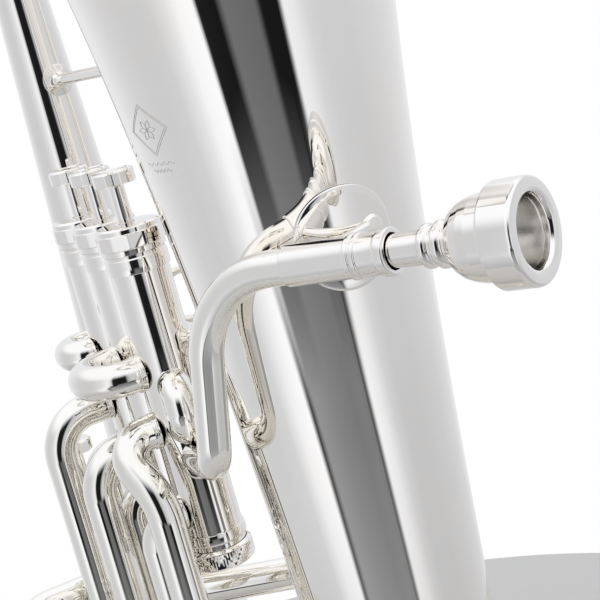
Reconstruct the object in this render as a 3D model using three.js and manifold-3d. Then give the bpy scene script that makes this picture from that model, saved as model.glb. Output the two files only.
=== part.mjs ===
// A silver-plated euphonium with three top-action piston valves and a fourth one low on the side.
// Millimetres, +Z up along the bell. X runs from the bell to the branches, +Y is the valve side.
// The origin is the lowest point of the bottom bow's guard, midway between the bell and the large branch.
import * as THREE from "three";
import { mergeVertices } from "three/addons/utils/BufferGeometryUtils.js";
import Module from "manifold-3d";

const wasm = await Module();
wasm.setup();

// ---------------------------------------------------------------- driving dimensions
const HEIGHT = 670; // bell rim above the bottom bow's guard
const GAP = 0.3; // clearance that touching pieces keep
const WALL = 0.8; // wall of the large tubes
const TUBE_WALL = 0.7; // wall of the valve tubing

const BELL_AXIS = [-98, -19];
const BRANCH_AXIS = [98, 19];
const BELL_RIM_R = 152.5;
const BELL_FLARE = 96.6; // length scale of the bell's flare
const BELL_POWER = 0.7; // how fast the flare opens
const RIM_BEAD_R = 2.2;

const BOW_R = Math.hypot(...BRANCH_AXIS); // centreline radius of the bottom bow
const BOW_TOP = 134.8; // height where the bottom bow meets the bell and the branch
const BRANCH_R_LOW = 26;
const BRANCH_R_HIGH = 12.2;
const TOP_BOW_Z = 520;
const SMALL_BRANCH_AXIS = [48, -41];
const SMALL_BRANCH_R = 11.2;
const TUNING_LEG_AXIS = [3, -49.6]; // the main tuning slide's other leg
const TUNING_R = 8.8;

const VALVE_Y = 38.5;
const VALVE_PITCH = 37;
const VALVE_1_X = -43;
const VALVES = [
  { x: VALVE_1_X, y: VALVE_Y, top: 365 },
  { x: VALVE_1_X + VALVE_PITCH, y: VALVE_Y, top: 365 },
  { x: VALVE_1_X + 2 * VALVE_PITCH, y: VALVE_Y, top: 365 },
  { x: 80, y: 65, top: 222 },
];
const CASING_LENGTH = 160;
const CASING_R = 13.6;
const CASING_BORE_R = 12.3;
const PISTON_R = 11.9;
const PISTON_LENGTH = 84;
const CAP_R = 15.8;
const CAP_HEIGHT = 13;
const STROKE = 17;
const STEM_R = 3.5;
const BUTTON_R = 9.8;
const BUTTON_HEIGHT = 7.5;
const SPRING_R = 8.5;
const SPRING_WIRE_R = 0.8;
const SPRING_TURNS = 7;

const PIPE_R = 7.3; // leadpipe
const PIPE_Z = 345.5; // height of the mouthpiece axis
const PIPE_OFFSET = 66.3; // of the mouthpiece axis from the bell axis
const PLAYER = new THREE.Vector3(-0.855, -0.518, 0.0155).normalize(); // from the bell towards the player
const SLEEVE_R = 8.2;
const SLIDE_R = 6.8;
const BOW_TUBE_R = 7.8;

// ---------------------------------------------------------------- helpers
const v3 = (x, y, z) => new THREE.Vector3(x, y, z);
const at = ([x, y], z) => v3(x, y, z);
const lerp = THREE.MathUtils.lerp;

// A closed geometry as a manifold-3d solid, and back.
function solidOf(geometry) {
  const bare = geometry.index ? geometry.toNonIndexed() : geometry.clone();
  bare.deleteAttribute("normal");
  bare.deleteAttribute("uv");
  const merged = mergeVertices(bare, 1e-3);
  return new wasm.Manifold(
    new wasm.Mesh({
      numProp: 3,
      vertProperties: merged.attributes.position.array,
      triVerts: new Uint32Array(merged.index.array),
    }),
  );
}

function geometryOf(solid) {
  const mesh = solid.getMesh();
  return new THREE.BufferGeometry()
    .setAttribute("position", new THREE.BufferAttribute(new Float32Array(mesh.vertProperties), 3))
    .setIndex(new THREE.BufferAttribute(new Uint32Array(mesh.triVerts), 1));
}

const cut = (geometry, ...tools) =>
  geometryOf(tools.reduce((left, tool) => left.subtract(solidOf(tool)), solidOf(geometry)));
const join = (...geometries) =>
  geometryOf(geometries.map(solidOf).reduce((left, right) => left.add(right)));
const common = (a, b) => geometryOf(solidOf(a).intersect(solidOf(b)));
// The largest of the separate bodies a cut leaves behind.
const largest = (geometry) =>
  geometryOf(solidOf(geometry).decompose().sort((a, b) => b.volume() - a.volume())[0]);

// A solid turned about Z from [radius, height] pairs. A profile that leaves the axis closes on itself.
function lathe(profile, segments, x = 0, y = 0) {
  const points = profile.map(([r, z]) => new THREE.Vector2(r, z));
  if (points[0].x > 0) points.push(points[0].clone());
  return new THREE.LatheGeometry(points, segments).rotateX(Math.PI / 2).translate(x, y, 0);
}

// A cylinder between two points.
function rod(from, to, radius, segments = 12) {
  const along = to.clone().sub(from);
  const turn = new THREE.Quaternion().setFromUnitVectors(v3(0, 1, 0), along.clone().normalize());
  return new THREE.CylinderGeometry(radius, radius, along.length(), segments)
    .applyQuaternion(turn)
    .translate(...from.clone().add(to).multiplyScalar(0.5).toArray());
}

// A route through corner points, rounded with the corners' radii.
// It gives stations of point, tangent and distance.
function route(corners, radii, arcStep = 15) {
  const stations = [];
  const add = (point, tangent) => {
    const last = stations.at(-1);
    const distance = last ? last.distance + last.point.distanceTo(point) : 0;
    if (!last || distance - last.distance > 1e-3) stations.push({ point, tangent, distance });
  };
  add(corners[0], corners[1].clone().sub(corners[0]).normalize());
  for (let i = 1; i < corners.length - 1; i++) {
    const into = corners[i].clone().sub(corners[i - 1]).normalize();
    const out = corners[i + 1].clone().sub(corners[i]).normalize();
    const angle = into.angleTo(out);
    const radius = radii[i - 1];
    const start = corners[i].clone().addScaledVector(into, -radius * Math.tan(angle / 2));
    const normal = out.clone().addScaledVector(into, -out.dot(into)).normalize();
    const steps = Math.max(2, Math.ceil(THREE.MathUtils.radToDeg(angle) / arcStep));
    for (let k = 0; k <= steps; k++) {
      const a = (angle * k) / steps;
      add(
        start.clone().addScaledVector(into, radius * Math.sin(a)).addScaledVector(normal,
          radius * (1 - Math.cos(a))),
        into.clone().multiplyScalar(Math.cos(a)).addScaledVector(normal, Math.sin(a)),
      );
    }
  }
  add(corners.at(-1), corners.at(-1).clone().sub(corners.at(-2)).normalize());
  return stations;
}

// Splits a route's straight runs at the given distances.
function withStops(stations, distances) {
  const all = stations.slice();
  for (const distance of distances) {
    const i = all.findIndex((s) => s.distance > distance + 1e-3);
    if (i < 1 || Math.abs(all[i - 1].distance - distance) < 1e-2) continue;
    const [a, b] = [all[i - 1], all[i]];
    const t = (distance - a.distance) / (b.distance - a.distance);
    all.splice(i, 0, {
      point: a.point.clone().lerp(b.point, t),
      tangent: a.tangent.clone().lerp(b.tangent, t).normalize(),
      distance,
    });
  }
  return all;
}

// Side and up directions carried along a route without twist.
function frames(stations) {
  const first = stations[0].tangent;
  const seed = Math.abs(first.z) < 0.9 ? v3(0, 0, 1) : v3(1, 0, 0);
  let side = seed.cross(first).normalize();
  return stations.map(({ point, tangent }, i) => {
    if (i > 0) {
      const turn = new THREE.Quaternion().setFromUnitVectors(stations[i - 1].tangent, tangent);
      side = side.clone().applyQuaternion(turn);
      side.addScaledVector(tangent, -side.dot(tangent)).normalize();
    }
    return { point, side: side.clone(), up: tangent.clone().cross(side) };
  });
}

const ringOf = ({ point, side, up }, radius, sides) =>
  Array.from({ length: sides }, (_, k) => {
    const a = (2 * Math.PI * k) / sides;
    return point
      .clone()
      .addScaledVector(side, radius * Math.cos(a))
      .addScaledVector(up, radius * Math.sin(a));
  });

// Skins a list of equal rings of points into one closed solid.
// The last ring joins the first if looped, or both ends are capped.
function skin(rings, looped) {
  const n = rings[0].length;
  const faces = [];
  const quad = (a, b, c, d) => faces.push(a, b, c, a, c, d);
  const spans = looped ? rings.length : rings.length - 1;
  for (let i = 0; i < spans; i++) {
    const [low, high] = [rings[i], rings[(i + 1) % rings.length]];
    for (let k = 0; k < n; k++) quad(low[k], low[(k + 1) % n], high[(k + 1) % n], high[k]);
  }
  if (!looped) {
    const [first, last] = [rings[0], rings.at(-1)];
    for (let k = 1; k < n - 1; k++) {
      faces.push(first[0], first[k + 1], first[k]);
      faces.push(last[0], last[k], last[k + 1]);
    }
  }
  return new THREE.BufferGeometry().setFromPoints(faces);
}

// A pipe along a route. radius is one number or [distance share, radius] pairs; wall 0 makes it solid.
function pipe(stations, radius, wall = TUBE_WALL, sides = 12) {
  const length = stations.at(-1).distance;
  const keys = typeof radius === "number" ? [[0, radius], [1, radius]] : radius;
  const radiusAt = (distance) => {
    const share = distance / length;
    const i = Math.max(1, keys.findIndex(([s]) => s >= share - 1e-6));
    const [[s0, r0], [s1, r1]] = [keys[i - 1], keys[i]];
    return lerp(r0, r1, s1 > s0 ? (share - s0) / (s1 - s0) : 1);
  };
  const stops = withStops(stations, keys.map(([s]) => s * length));
  const rings = frames(stops);
  const outer = rings.map((f, i) => ringOf(f, radiusAt(stops[i].distance), sides));
  if (!wall) return skin(outer, false);
  const inner = rings.map((f, i) => ringOf(f, radiusAt(stops[i].distance) - wall, sides));
  return skin([...outer, ...inner.reverse()], true);
}

const instrument = new THREE.Group();
const SILVER = { color: 0xe6e6e8, roughness: 0.06, metalness: 1 };
const PLAIN_BRASS = { color: 0xd8b46a, roughness: 0.25, metalness: 1 };
const STEEL = { color: 0xb9bcc0, roughness: 0.3, metalness: 1 };
const NICKEL = { color: 0xc9c8c2, roughness: 0.2, metalness: 1 };

function piece(name, geometry, finish = SILVER) {
  const mesh = new THREE.Mesh(geometry, new THREE.MeshStandardMaterial(finish));
  mesh.name = name;
  instrument.add(mesh);
}

// ---------------------------------------------------------------- bell, bows and branches
const bellRadius = (z) => BELL_RIM_R * (BELL_FLARE / (HEIGHT - z + BELL_FLARE)) ** BELL_POWER;
const largeBranchRadius = (z) =>
  lerp(BRANCH_R_LOW, BRANCH_R_HIGH, (z - BOW_TOP) / (TOP_BOW_Z - BOW_TOP));

function bell() {
  const heights = [BOW_TOP + GAP, 240, 340, 430, 500, 550, 590, 618, 638, 652, 663.5];
  const outside = heights.map((z) => [bellRadius(z), z]);
  const inside = heights.map((z) => [bellRadius(z) - WALL, z]).reverse();
  const beadZ = HEIGHT - RIM_BEAD_R;
  const rim = [
    [BELL_RIM_R - 1.5, beadZ - RIM_BEAD_R],
    [BELL_RIM_R, beadZ - RIM_BEAD_R * 0.6],
    [BELL_RIM_R + 0.4, beadZ],
    [BELL_RIM_R - 0.4, HEIGHT - 0.4],
    [BELL_RIM_R - 1.4, HEIGHT],
    [BELL_RIM_R - 5, HEIGHT],
    [BELL_RIM_R - 6.2, HEIGHT - 1.8],
  ];
  return lathe([...outside, ...rim, ...inside], 30, ...BELL_AXIS);
}

function bottomBow() {
  const centre = v3(0, 0, BOW_TOP);
  const along = at(BRANCH_AXIS, 0).normalize();
  const steps = 12;
  const stations = Array.from({ length: steps + 1 }, (_, k) => {
    const a = (Math.PI * k) / steps;
    return {
      point: centre.clone().addScaledVector(along, -BOW_R * Math.cos(a)).addScaledVector(v3(0, 0, 1),
        -BOW_R * Math.sin(a)),
      tangent: along.clone().multiplyScalar(Math.sin(a)).addScaledVector(v3(0, 0, 1), -Math.cos(a)),
      distance: (Math.PI * BOW_R * k) / steps,
    };
  });
  return { stations, radius: [[0, bellRadius(BOW_TOP)], [1, BRANCH_R_LOW]] };
}

// The guard is a band on the outside of the bottom bow, from one shoulder to the other.
function bowGuard() {
  const { stations, radius } = bottomBow();
  const middle = stations.slice(2, -2);
  const halfAngle = 0.62;
  const points = 6;
  const rings = frames(stations).slice(2, -2).map((frame, i) => {
    const share = middle[i].distance / stations.at(-1).distance;
    const base = lerp(radius[0][1], radius[1][1], share);
    const outward = middle[i].point.clone().sub(v3(0, 0, BOW_TOP)).normalize();
    const across = middle[i].tangent.clone().cross(outward);
    const band = (r, sign) =>
      Array.from({ length: points }, (_, k) => {
        const a = sign * lerp(-halfAngle, halfAngle, k / (points - 1));
        return frame.point.clone().addScaledVector(outward, r * Math.cos(a)).addScaledVector(across,
          r * Math.sin(a));
      });
    return [...band(base + GAP + 1.4, 1), ...band(base + GAP, -1)];
  });
  return skin(rings, false);
}

function branches() {
  const low = at(BRANCH_AXIS, BOW_TOP + GAP);
  const high = at(BRANCH_AXIS, TOP_BOW_Z - GAP);
  piece("large_branch", pipe(route([low, high], []), [[0, BRANCH_R_LOW], [1, BRANCH_R_HIGH]], WALL, 16));

  const topCorners = [
    at(BRANCH_AXIS, TOP_BOW_Z),
    at(BRANCH_AXIS, TOP_BOW_Z + topBowRadius),
    at(SMALL_BRANCH_AXIS, TOP_BOW_Z + topBowRadius),
    at(SMALL_BRANCH_AXIS, TOP_BOW_Z),
  ];
  const topRoute = route(topCorners, [topBowRadius - 0.01, topBowRadius - 0.01], 22.5);
  piece("top_bow", pipe(topRoute, [[0, BRANCH_R_HIGH], [1, SMALL_BRANCH_R]], WALL, 14));

  const sleeveLow = at(SMALL_BRANCH_AXIS, TUNING_SLEEVE_LOW);
  const smallHigh = at(SMALL_BRANCH_AXIS, TOP_BOW_Z - GAP);
  const length = smallHigh.z - sleeveLow.z;
  const sleeveShare = TUNING_SLEEVE_LENGTH / length;
  piece(
    "small_branch",
    pipe(route([smallHigh, sleeveLow], []),
      [[0, SMALL_BRANCH_R], [1 - sleeveShare, TUNING_R + 0.3], [1, TUNING_R]], TUBE_WALL, 14),
  );
}
const topBowRadius = Math.hypot(BRANCH_AXIS[0] - SMALL_BRANCH_AXIS[0],
  BRANCH_AXIS[1] - SMALL_BRANCH_AXIS[1]) / 2;
const TUNING_SLEEVE_LOW = 78;
const TUNING_SLEEVE_LENGTH = 66;

piece("bell", bell());
piece("bottom_bow", pipe(bottomBow().stations, bottomBow().radius, WALL, 16));
piece("bow_guard", bowGuard());
branches();

// ---------------------------------------------------------------- valves
const casingLow = (valve) => valve.top - CAP_HEIGHT + 9 - CASING_LENGTH;
const casingHigh = (valve) => valve.top - 2.4;
const pistonHigh = (valve) => valve.top - 10;
const pistonLow = (valve) => pistonHigh(valve) - PISTON_LENGTH;
const capFloor = (valve) => casingLow(valve) - 1.6;

// The outside of a casing as a cutter, for a tube that ends against it.
const casingCutter = (valve) =>
  rod(v3(valve.x, valve.y, casingLow(valve) - 20), v3(valve.x, valve.y, valve.top + 20),
    (CASING_R + GAP) / Math.cos(Math.PI / 24), 24);

// A port is where a tube meets a casing: its height and its direction in degrees from +X.
function portHole(valve, z, degrees) {
  const a = THREE.MathUtils.degToRad(degrees);
  const centre = v3(valve.x, valve.y, z);
  const outside = centre.clone().add(v3(Math.cos(a), Math.sin(a), 0).multiplyScalar(CASING_R + 4));
  return rod(centre, outside, PORT_R, 10);
}
const PORT_R = 6.6;
const PORTS = [
  [[252, 170], [297, 90], [269, 85], [228, 90], [290, 165], [270, 165]],
  [[297, 90], [320, 0], [256, 94], [230, 82]],
  [[320, 180], [298, 90], [271, 88], [245, 80], [225, 0]],
  [[190, 244], [150, 236], [165, 90], [137, 90]],
];

function valve(spec, index) {
  const n = index + 1;
  const [low, high] = [casingLow(spec), casingHigh(spec)];
  const casing = lathe(
    [[CASING_R, low], [CASING_R, high], [CASING_BORE_R, high], [CASING_BORE_R, low]],
    16, spec.x, spec.y,
  );
  piece(`valve_casing_${n}`, cut(casing, ...PORTS[index].map(([z, a]) => portHole(spec, z, a))));

  const capInside = CASING_R + GAP;
  const stemHole = STEM_R + 0.4;
  piece(`top_cap_${n}`, lathe([
    [capInside, spec.top - CAP_HEIGHT], [CAP_R - 1.2, spec.top - CAP_HEIGHT], [CAP_R - 1.2, spec.top - 9.5],
    [CAP_R, spec.top - 8.8], [CAP_R, spec.top - 2], [CAP_R - 1.4, spec.top - 0.6], [stemHole + 3, spec.top],
    [stemHole, spec.top], [stemHole, spec.top - 2], [capInside, spec.top - 2],
  ], 16, spec.x, spec.y));

  const floor = capFloor(spec);
  piece(`bottom_cap_${n}`, lathe([
    [0, floor - 2.6], [4, floor - 2.6], [5.5, floor - 1.4], [CAP_R - 2, floor - 1.4], [CAP_R, floor + 0.6],
    [CAP_R, floor + 8], [capInside, floor + 9], [capInside, low - GAP], [0, low - GAP],
  ], 16, spec.x, spec.y));

  const [pistonTop, pistonFoot] = [pistonHigh(spec), pistonLow(spec)];
  const body = lathe(
    [[0, pistonFoot], [PISTON_R, pistonFoot], [PISTON_R, pistonTop], [0, pistonTop]], 16, spec.x, spec.y,
  );
  const passages = [[0.24, 20], [0.5, 95], [0.76, 160]].map(([share, degrees]) => {
    const a = THREE.MathUtils.degToRad(degrees);
    const reach = v3(Math.cos(a), Math.sin(a), 0).multiplyScalar(PISTON_R + 5);
    const centre = v3(spec.x, spec.y, lerp(pistonFoot, pistonTop, share));
    return rod(centre.clone().sub(reach), centre.clone().add(reach), PORT_R, 10);
  });
  piece(`piston_${n}`, cut(body, ...passages), NICKEL);

  const shoulder = spec.top + STROKE;
  piece(`finger_button_${n}`, lathe([
    [0, pistonTop + GAP], [STEM_R, pistonTop + GAP], [STEM_R, shoulder + 0.6], [BUTTON_R - 1, shoulder + 0.6],
    [BUTTON_R, shoulder + 1.6], [BUTTON_R, shoulder + BUTTON_HEIGHT - 1.6],
      [BUTTON_R - 1.4, shoulder + BUTTON_HEIGHT],
    [BUTTON_R - 2.2, shoulder + BUTTON_HEIGHT - 0.5], [0, shoulder + BUTTON_HEIGHT - 0.8],
  ], 16, spec.x, spec.y));

  piece(`piston_spring_${n}`, coilSpring(spec), STEEL);
}

class Helix extends THREE.Curve {
  constructor(centre, radius, height, turns) {
    super();
    Object.assign(this, { centre, radius, height, turns });
  }
  getPoint(t, target = v3(0, 0, 0)) {
    const a = 2 * Math.PI * this.turns * t;
    return target.set(
      this.centre.x + this.radius * Math.cos(a),
      this.centre.y + this.radius * Math.sin(a),
      this.centre.z + this.height * t,
    );
  }
}

// The return spring stands on the bottom cap, under the piston.
function coilSpring(spec) {
  const low = casingLow(spec) + SPRING_WIRE_R + 0.2;
  const high = pistonLow(spec) - SPRING_WIRE_R - GAP;
  const wire = new THREE.Shape(
    Array.from({ length: 4 }, (_, k) => new THREE.Vector2(Math.cos((Math.PI * k) / 2),
      Math.sin((Math.PI * k) / 2)).multiplyScalar(SPRING_WIRE_R)),
  );
  const path = new Helix(v3(spec.x, spec.y, low), SPRING_R, high - low, SPRING_TURNS);
  return new THREE.ExtrudeGeometry(wire, { steps: SPRING_TURNS * 7, extrudePath: path, bevelEnabled: false });
}

VALVES.forEach(valve);

// ---------------------------------------------------------------- valve tubing
const valveAt = (n, z) => v3(VALVES[n - 1].x, VALVES[n - 1].y, z);

// A tube that starts on a casing, runs through the corners and may end on another casing.
function valveTube(name, corners, radii, radius, cutters, arcStep = 22.5) {
  const tube = pipe(route(corners, radii, arcStep), radius, TUBE_WALL, 10);
  piece(name, cut(tube, ...cutters.map((n) => casingCutter(VALVES[n - 1]))));
}

const TIGHT = 13; // centreline radius of a close elbow
valveTube("valve_1_2_crook", [valveAt(1, 297), v3(VALVES[0].x, 72.3, 297), v3(VALVES[1].x, 72.3, 297),
  valveAt(2, 297)],
  [VALVE_PITCH / 2 - 0.01, VALVE_PITCH / 2 - 0.01], SLEEVE_R, [1, 2]);
valveTube("compensating_bow_3", [v3(VALVES[2].x - 1, 46, 298), v3(VALVES[2].x - 1, 61, 298),
  v3(VALVES[2].x + 21, 61, 298), v3(VALVES[2].x + 21, 38.5, 298), v3(VALVES[2].x + 10, 38.5, 298)],
  [10.9, 10.9, 9], SLEEVE_R - 0.4, [3]);
piece("knuckle_2_3", cut(pipe(route([valveAt(2, 320), valveAt(3, 320)], []), SLEEVE_R, TUBE_WALL, 12),
  casingCutter(VALVES[1]), casingCutter(VALVES[2])));
valveTube("valve_3_4_link", [valveAt(3, 225), v3(67, VALVE_Y, 225), v3(67, VALVE_Y, 190), valveAt(4, 190)],
  [TIGHT, TIGHT], BOW_TUBE_R, [3, 4]);
const stubOut = v3(Math.cos(THREE.MathUtils.degToRad(165)), Math.sin(THREE.MathUtils.degToRad(165)), 0);
const stubAt = (z) => valveAt(1, z).addScaledVector(stubOut, 26);
valveTube("compensating_bow_1", [valveAt(1, 290), stubAt(290), stubAt(270), valveAt(1, 270)], [9.99, 9.99],
  PIPE_R, [1]);
valveTube("crossover_tube", [valveAt(4, 150), at(TUNING_LEG_AXIS, 150),
  at(TUNING_LEG_AXIS, TUNING_SLEEVE_LOW)],
  [20], TUNING_R, [4]);

// Each valve's slide: the upper tube and the lower one leave the casing and turn down as a pair of sleeves.
const SLIDES = [
  { valve: 1, sleeveLow: 140, insert: 46, legs: [
    { xy: [-60, 64], from: 269, via: [-40, 73, 269], bend: 12 },
    { xy: [-43, 66.2], from: 228, bend: 13 } ] },
  { valve: 2, sleeveLow: 170, insert: 36, legs: [
    { xy: [-10, 78.5], from: 256, bend: 18 },
    { xy: [-3, 63.1], from: 230, bend: 10 } ] },
  { valve: 3, sleeveLow: 118, insert: 46, legs: [
    { xy: [33, 82.2], from: 271, bend: 20 },
    { xy: [36, 65.4], from: 245, bend: 13 } ] },
  { valve: 4, sleeveLow: 66, insert: 46, legs: [
    { xy: [80, 118], from: 165, bend: 16 },
    { xy: [80, 90.5], from: 137, bend: 12 } ] },
];

function slideSleeve(valveNumber, { xy, from, via, bend }, low, name) {
  const leg = (z) => v3(xy[0], xy[1], z);
  const corners = [valveAt(valveNumber, from), ...(via ? [v3(...via), leg(from - 26)] : [leg(from)]),
    leg(low)];
  valveTube(name, corners, via ? [bend, 30] : [bend], SLEEVE_R, [valveNumber]);
}

// The moving slide: two legs inside the sleeves and the bow that joins them below.
function slideBow(legA, legB, low, legR, bowR, insert, straight = 9) {
  const half = legA.distanceTo(legB) / 2;
  const bottom = low - straight - half;
  const corners = [
    v3(legA.x, legA.y, low + insert), v3(legA.x, legA.y, bottom), v3(legB.x, legB.y, bottom),
      v3(legB.x, legB.y, low + insert),
  ];
  const stations = route(corners, [half - 0.01, half - 0.01], 30);
  const length = stations.at(-1).distance;
  const share = (d) => d / length;
  const keys = [
    [0, legR], [share(insert - GAP - 0.1), legR], [share(insert + GAP), bowR],
    [1 - share(insert + GAP), bowR], [1 - share(insert - GAP - 0.1), legR], [1, legR],
  ];
  return pipe(stations, keys, TUBE_WALL, 10);
}

for (const slide of SLIDES) {
  slide.legs.forEach((leg, i) =>
    slideSleeve(slide.valve, leg, slide.sleeveLow, `slide_sleeve_${slide.valve}_${i ? "inner" : "outer"}`));
  const [a, b] = slide.legs.map(({ xy }) => at(xy, 0));
  piece(`valve_slide_${slide.valve}`, slideBow(a, b, slide.sleeveLow - GAP, SLIDE_R, BOW_TUBE_R,
    slide.insert));
}
piece("main_tuning_slide",
  slideBow(at(TUNING_LEG_AXIS, 0), at(SMALL_BRANCH_AXIS, 0), TUNING_SLEEVE_LOW - GAP,
    TUNING_R - TUBE_WALL - 0.7, TUNING_R - 0.2, 50, 5));

// ---------------------------------------------------------------- leadpipe, receiver and mouthpiece
const pipeBase = v3(BELL_AXIS[0], BELL_AXIS[1],
  PIPE_Z).add(v3(PLAYER.y, -PLAYER.x, 0).multiplyScalar(PIPE_OFFSET));
const onPipe = (distance, drop = 0) => pipeBase.clone().addScaledVector(PLAYER,
  distance).add(v3(0, 0, -drop));
const PIPE_CORNER = -5;
const PIPE_FOOT = -24.5;
const PIPE_FOOT_DROP = 80;
const PIPE_PORT_Z = 252;
const RECEIVER = [40, 88]; // distances along the mouthpiece axis
valveTube("leadpipe", [onPipe(RECEIVER[0] + 12), onPipe(PIPE_CORNER), onPipe(PIPE_FOOT, PIPE_FOOT_DROP),
  valveAt(1, PIPE_PORT_Z)],
  [46, 15], PIPE_R, [1], 12);

// Turns a lathe about Z into one along the mouthpiece axis, with its zero at the given distance.
function alongPipe(geometry, distance) {
  const turn = new THREE.Quaternion().setFromUnitVectors(v3(0, 0, 1), PLAYER);
  return geometry.applyQuaternion(turn).translate(...onPipe(distance).toArray());
}

piece("mouthpiece_receiver", alongPipe(lathe([
  [PIPE_R + GAP, 0], [PIPE_R + 0.9, 0], [PIPE_R + 0.9, 31], [PIPE_R + 1.6, 31.6], [PIPE_R + 1.6, 33.6],
  [PIPE_R + 1, 34.2], [PIPE_R + 1, 44], [PIPE_R + 1.9, 44.6], [PIPE_R + 1.9, 48], [7.0, 48], [6.8, 13],
    [PIPE_R + GAP, 12.6],
], 16), RECEIVER[0]));

const MOUTHPIECE_LENGTH = 82;
const RIM_DISTANCE = 146.5;
piece("mouthpiece", alongPipe(lathe([
  [2.6, 0], [5.8, 0], [6.6, 34], [6.7, 37], [8.4, 38], [8.4, 40], [7, 41], [7.2, 42.5], [9, 44], [9, 46],
    [7.6, 47.4],
  [9.4, 49], [13.4, 53], [15.4, 58], [16, 62], [16, 67], [19.3, 68.4], [19.6, 76], [18.6, 80],
    [16.6, MOUTHPIECE_LENGTH],
  [14.4, MOUTHPIECE_LENGTH - 0.6], [12.9, 78.6], [12.6, 74], [11.4, 66], [8.4, 58.5], [4.6, 53.5], [2.6, 50],
], 16), RIM_DISTANCE - MOUTHPIECE_LENGTH));

// ---------------------------------------------------------------- plates and braces
const PATCH_DIRECTION = THREE.MathUtils.degToRad(176);
const PATCH_Z = 346.6;
const PATCH_R = 21.5;
const PATCH_THICKNESS = 0.9;

function bellPatch() {
  const heights = [-30, -15, 0, 15, 30].map((dz) => PATCH_Z + dz);
  const shell = lathe([
    ...heights.map((z) => [bellRadius(z) + GAP + PATCH_THICKNESS + 0.25, z]),
    ...heights.map((z) => [bellRadius(z) + GAP + 0.25, z]).reverse(),
  ], 40, ...BELL_AXIS);
  const out = v3(Math.cos(PATCH_DIRECTION), Math.sin(PATCH_DIRECTION), 0);
  const centre = at(BELL_AXIS, PATCH_Z);
  return common(shell, rod(centre.clone().addScaledVector(out, 20),
    centre.clone().addScaledVector(out, 90), PATCH_R, 24));
}
piece("bell_patch", bellPatch());

// A bar from the player's side of the patch to the receiver.
const POST_AT = 46;
const POST_DIRECTION = THREE.MathUtils.degToRad(188.7);
const postEnd = onPipe(POST_AT);
const postDirection = v3(Math.cos(POST_DIRECTION), Math.sin(POST_DIRECTION), 0);
const postStart = at(BELL_AXIS, PIPE_Z + 2.5).addScaledVector(postDirection, bellRadius(PIPE_Z) - 1);
function receiverBrace() {
  const post = rod(postStart, postEnd, 3.2, 12);
  const receiverCutter = rod(onPipe(20), onPipe(120), PIPE_R + 2.2 + GAP, 20);
  const surface = bellRadius(PIPE_Z) + PATCH_THICKNESS + 3 * GAP;
  const bellCutter = lathe([[0, PIPE_Z - 30], [surface - 2.5, PIPE_Z - 30], [surface + 2.8, PIPE_Z + 30],
    [0, PIPE_Z + 30]], 40, ...BELL_AXIS);
  return largest(cut(post, receiverCutter, bellCutter));
}
piece("receiver_brace", receiverBrace());

// A brace with a round flange at each end, between two points on tube surfaces.
function brace(from, to, cutters) {
  const along = to.clone().sub(from).normalize();
  const bar = rod(from, to, 3, 10);
  const flanges = [
    rod(from, from.clone().addScaledVector(along, 2.2), 8.5, 16),
    rod(to.clone().addScaledVector(along, -2.2), to, 8.5, 16),
  ];
  return largest(cut(join(bar, ...flanges), ...cutters));
}
const vertical = ([x, y], radius, low, high) => rod(v3(x, y, low), v3(x, y, high), radius, 24);

function bellBranchBrace() {
  const z = 430;
  const direction = at(BRANCH_AXIS, 0).sub(at(BELL_AXIS, 0)).normalize();
  const from = at(BELL_AXIS, z).addScaledVector(direction, bellRadius(z) - 2);
  const to = at(BRANCH_AXIS, z).addScaledVector(direction, -largeBranchRadius(z) + 2);
  const bellCutter = lathe([[0, z - 30], [bellRadius(z - 30) + 1, z - 30],
    [bellRadius(z + 30) + 1, z + 30], [0, z + 30]], 40, ...BELL_AXIS);
  return brace(from, to, [bellCutter, vertical(BRANCH_AXIS, largeBranchRadius(z - 12) + GAP + 0.3, z - 20,
    z + 20)]);
}
piece("bell_branch_brace", bellBranchBrace());

function valveBellBrace() {
  const z = 307;
  const toBell = at(BELL_AXIS, z).sub(valveAt(1, z)).normalize();
  const from = valveAt(1, z).addScaledVector(toBell, CASING_R - 2);
  const to = at(BELL_AXIS, z).addScaledVector(toBell, -(bellRadius(z) - 2));
  const bellCutter = lathe([[0, z - 30], [bellRadius(z - 30) + 1, z - 30],
    [bellRadius(z + 30) + 1, z + 30], [0, z + 30]], 40, ...BELL_AXIS);
  return brace(from, to, [bellCutter, casingCutter(VALVES[0])]);
}
piece("valve_bell_brace", valveBellBrace());

function branchBrace() {
  const z = 330;
  const direction = at(BRANCH_AXIS, 0).sub(valveAt(3, 0)).setZ(0).normalize();
  const from = valveAt(3, z).addScaledVector(direction, CASING_R - 2);
  const to = at(BRANCH_AXIS, z).addScaledVector(direction, -largeBranchRadius(z) + 2);
  return brace(from, to, [casingCutter(VALVES[2]),
    vertical(BRANCH_AXIS, largeBranchRadius(z - 12) + GAP + 0.3, z - 20, z + 20)]);
}
piece("valve_branch_brace", branchBrace());

// The thumb ring hangs on the bell side of the second valve.
const THUMB_RING_R = 12.5;
function thumbRing() {
  const centre = v3(VALVES[1].x, VALVES[1].y - CASING_R - THUMB_RING_R - 3.4, 318);
  const ring = new THREE.TorusGeometry(THUMB_RING_R, 2.2, 8,
    24).rotateX(Math.PI / 2).rotateZ(Math.PI / 2).rotateX(Math.PI / 2);
  ring.translate(...centre.toArray());
  const foot = rod(centre.clone().add(v3(0, THUMB_RING_R, 0)), v3(centre.x, VALVES[1].y, centre.z), 3.4, 12);
  return largest(cut(join(ring, foot), casingCutter(VALVES[1])));
}
piece("thumb_ring", thumbRing());

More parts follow.
